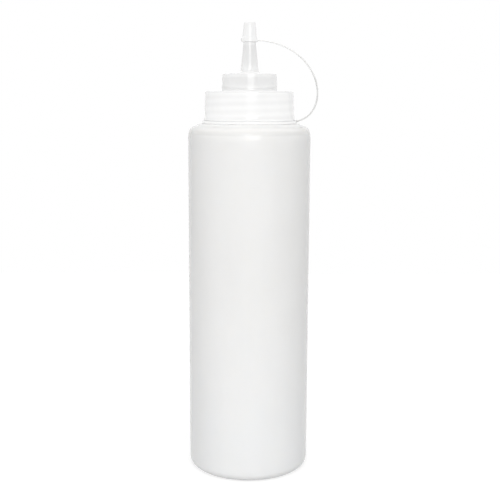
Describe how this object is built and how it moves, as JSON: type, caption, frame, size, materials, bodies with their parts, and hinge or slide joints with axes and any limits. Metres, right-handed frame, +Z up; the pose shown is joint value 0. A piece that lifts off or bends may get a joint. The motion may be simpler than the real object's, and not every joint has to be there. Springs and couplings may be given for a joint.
{
  "type": "squeeze bottle",
  "caption": "Tall round squeeze bottle with a rounded shoulder, a wide screw cap with a stepped top and cone nozzle, and a tethered push-on tip cap.",
  "frame": {"origin": "centre of the standing ring under the base, on the bottle's axis, at the height of the table", "axes": "+Z up along the bottle's axis, +X toward the tether's loop, -Y toward the viewer of the picture"},
  "size_m": [0.074, 0.07, 0.2585],
  "materials": {
    "bottle_plastic": "natural low-density polyethylene, blow moulded, cloudy translucent with a soft sheen",
    "cap_plastic": "natural polyethylene, injection moulded, more see-through than the bottle, semi-gloss",
    "tether_plastic": "soft natural polyethylene, injection moulded, semi-gloss, flexible where it is thin"
  },
  "bodies": {
    "bottle": {"bottle_body": "bottle_plastic", "neck_thread": "bottle_plastic"},
    "tether": {"tether_ring": "tether_plastic", "tether_strap": "tether_plastic"},
    "screw_cap": {"screw_collar": "cap_plastic", "collar_thread": "cap_plastic", "raised_step": "cap_plastic", "nozzle": "cap_plastic"},
    "tip_cap": {"tip_cap": "tether_plastic"}
  },
  "joints": [
    {"name": "cap_lift", "type": "slide", "parent": "bottle", "child": "tether", "axis": [0, 0, 1], "range_m": [0, 0.01586]},
    {"name": "cap_turn", "type": "hinge", "parent": "tether", "child": "screw_cap", "pos_m": [0, 0, 0.21], "axis": [0, 0, 1], "range_deg": [0, 1350]},
    {"name": "tip_cap_pull", "type": "slide", "parent": "tether", "child": "tip_cap", "axis": [0, 0, 1], "range_m": [0, 0.014], "deforming": ["tether_strap"]}
  ],
  "couplings": [
    {"joint": "cap_lift", "follows": "cap_turn", "m_per_rad": 0.00067323}
  ]
}
